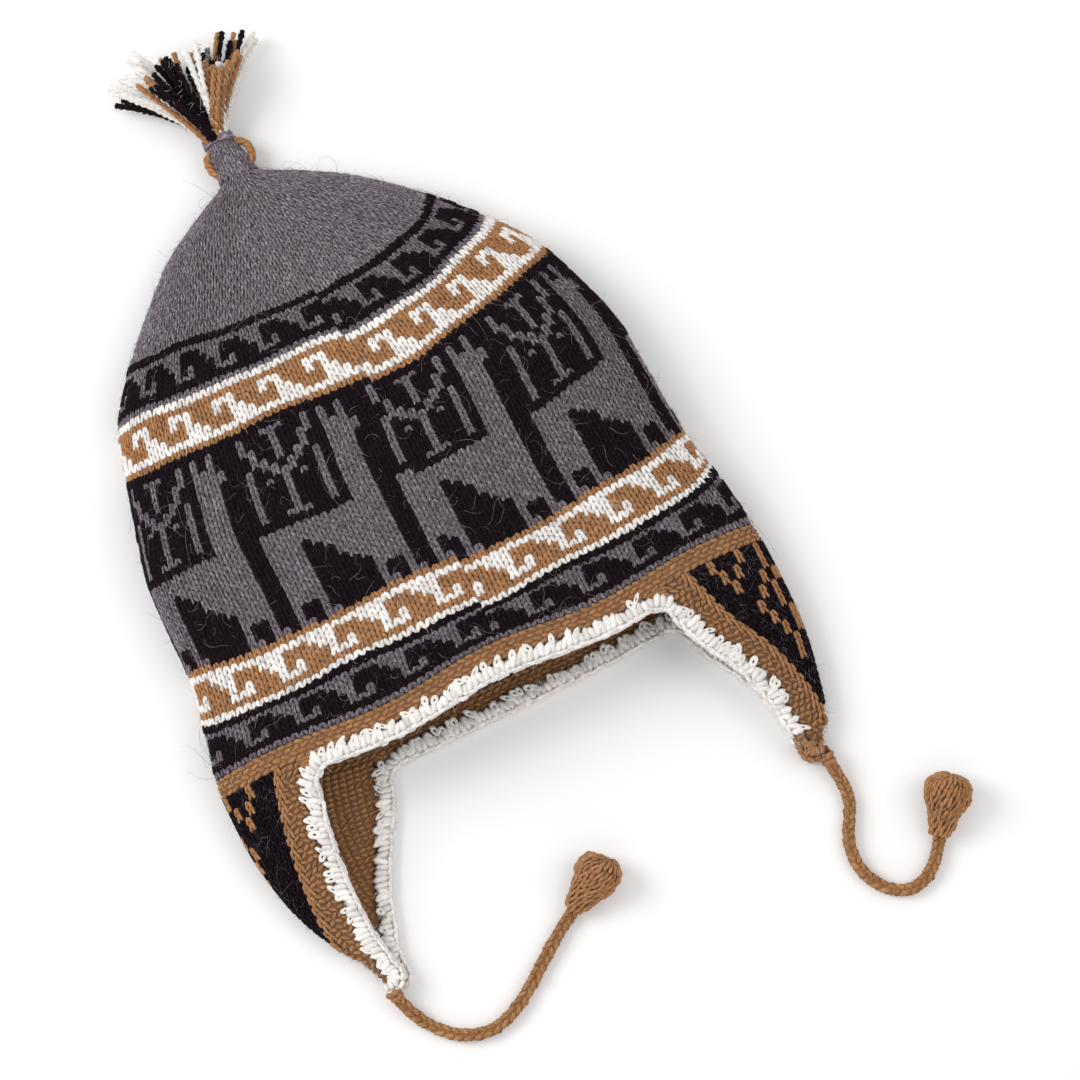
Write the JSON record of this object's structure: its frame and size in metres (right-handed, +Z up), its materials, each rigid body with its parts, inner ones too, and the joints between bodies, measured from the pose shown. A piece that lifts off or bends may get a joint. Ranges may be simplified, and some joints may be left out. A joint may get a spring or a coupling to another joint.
{
  "type": "chullo hat",
  "caption": "Knitted hat with ear flaps, lying on its back: hollow crown with stranded bands, garter rim, crocheted edging, tie cords with bobbles and a yarn tassel.",
  "frame": {"origin": "on the flat underside of the lying hat, on its axis, 100 mm up from the rim at its side folds", "axes": "+Y from the opening to the crown's tip, +Z up out of the surface, +X to the right seen from above with the tip away"},
  "size_m": [0.2837, 0.4617, 0.0572],
  "materials": {
    "grey_yarn": "fuzzy two-ply alpaca yarn, heathered grey",
    "black_yarn": "fuzzy two-ply alpaca yarn, near black",
    "camel_yarn": "fuzzy two-ply alpaca yarn, camel brown",
    "white_yarn": "fuzzy two-ply alpaca yarn, natural white"
  },
  "bodies": {
    "root": {"crown": "grey_yarn", "rim_band": "camel_yarn", "ear_flap_left": "black_yarn", "ear_flap_right": "black_yarn", "crochet_edging": "white_yarn", "tie_cord_left": "camel_yarn", "tie_cord_right": "camel_yarn", "tie_knob_left": "camel_yarn", "tie_knob_right": "camel_yarn", "tassel": "grey_yarn", "tassel_loop_left": "camel_yarn", "tassel_loop_right": "camel_yarn"}
  },
  "joints": []
}
